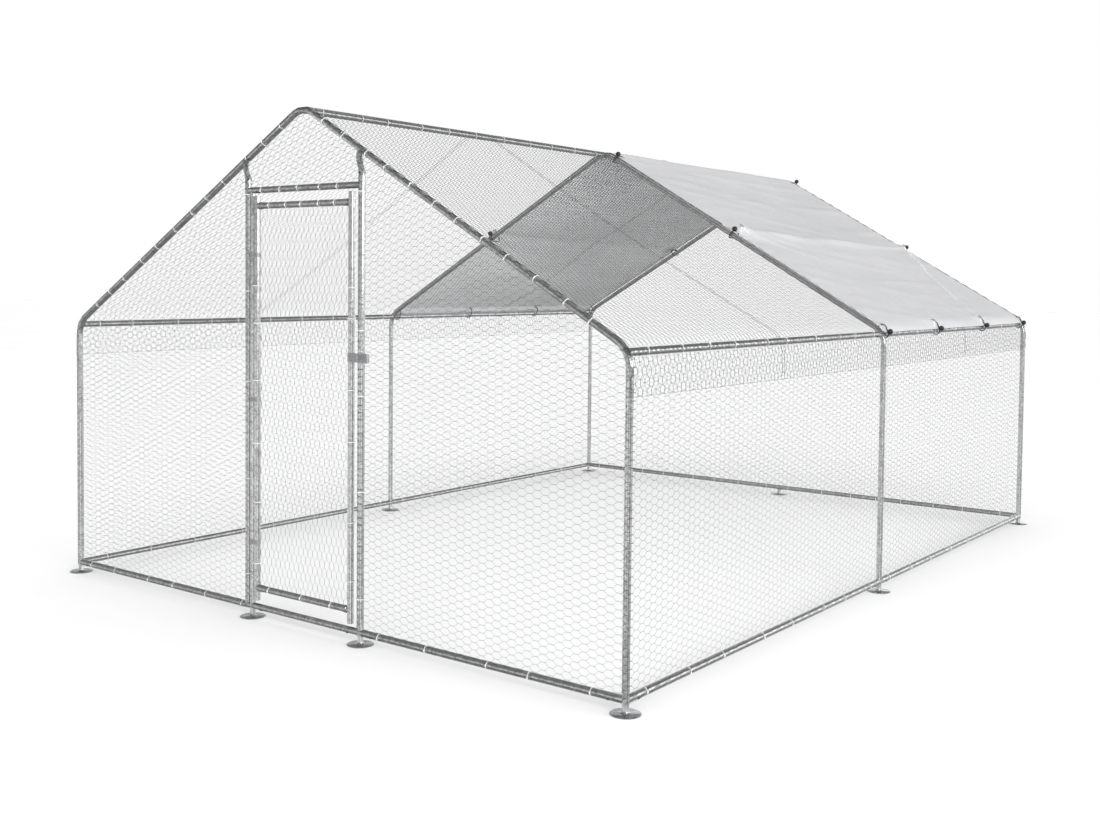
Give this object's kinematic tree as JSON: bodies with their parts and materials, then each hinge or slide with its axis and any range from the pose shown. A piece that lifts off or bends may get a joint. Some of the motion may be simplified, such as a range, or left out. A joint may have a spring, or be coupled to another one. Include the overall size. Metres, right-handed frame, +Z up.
{
  "type": "walk-in chicken run",
  "caption": "Walk-in poultry run: gabled steel tube frame with hexagonal wire net on all sides, a hinged net door with a hasp, and a sheet cover over the rear half of the roof.",
  "frame": {"origin": "on the ground, at the middle of the run's footprint", "axes": "+X to the right along the door face, +Y from the door face into the run, +Z up"},
  "size_m": [3.07, 4.0698, 1.9879],
  "materials": {
    "tube_metal": "galvanised, satin",
    "foot_metal": "galvanised, glossy",
    "latch_metal": "zinc plated, dull",
    "screw_metal": "zinc plated",
    "net_wire": "galvanised wire",
    "cover_sheet": "coated woven sheet, matt",
    "bungee_cord": "woven sleeve, matt",
    "bungee_ball": "satin"
  },
  "bodies": {
    "frame": {"post_front_left": "tube_metal", "post_front_right": "tube_metal", "post_mid_left": "tube_metal", "post_mid_right": "tube_metal", "post_rear_left": "tube_metal", "post_rear_right": "tube_metal", "rafter_front_left": "tube_metal", "rafter_front_right": "tube_metal", "rafter_mid_left": "tube_metal", "rafter_mid_right": "tube_metal", "rafter_rear_left": "tube_metal", "rafter_rear_right": "tube_metal", "apex_front": "tube_metal", "apex_mid": "tube_metal", "apex_rear": "tube_metal", "side_rail_left_front": "tube_metal", "side_rail_left_rear": "tube_metal", "side_rail_right_front": "tube_metal", "side_rail_right_rear": "tube_metal", "eave_rail_left_front": "tube_metal", "eave_rail_left_rear": "tube_metal", "eave_rail_right_front": "tube_metal", "eave_rail_right_rear": "tube_metal", "ridge_rail_front": "tube_metal", "ridge_rail_rear": "tube_metal", "sill_front_left": "tube_metal", "sill_door": "tube_metal", "sill_front_right": "tube_metal", "sill_rear_left": "tube_metal", "sill_rear_right": "tube_metal", "door_post_left": "tube_metal", "hinge_tube": "tube_metal", "door_post_right": "tube_metal", "door_header": "tube_metal", "base_feet": "foot_metal", "rail_stubs": "tube_metal", "frame_screws": "screw_metal", "staple": "latch_metal", "net_front_left": "net_wire", "net_front_right": "net_wire", "net_gable": "net_wire", "net_left": "net_wire", "net_right": "net_wire", "net_rear": "net_wire", "net_roof_left": "net_wire", "net_roof_right": "net_wire", "roof_cover": "cover_sheet", "bungee_cords": "bungee_cord", "bungee_balls": "bungee_ball"},
    "door": {"door_stile_hinge": "tube_metal", "door_stile_latch": "tube_metal", "door_top_bar": "tube_metal", "door_bottom_bar": "tube_metal", "hinge_bands": "tube_metal", "door_net": "net_wire", "latch_clamp": "latch_metal", "hasp_pin": "latch_metal"},
    "hasp": {"hasp": "latch_metal"}
  },
  "joints": [
    {"name": "door_swing", "type": "hinge", "parent": "frame", "child": "door", "pos_m": [-0.2895, -1.985, 0.865], "axis": [0, 0, -1], "range_deg": [0, 105]},
    {"name": "hasp_swing", "type": "hinge", "parent": "door", "child": "hasp", "pos_m": [0.281, -2, 1.054], "axis": [0, 0, -1], "range_deg": [0, 140]}
  ]
}
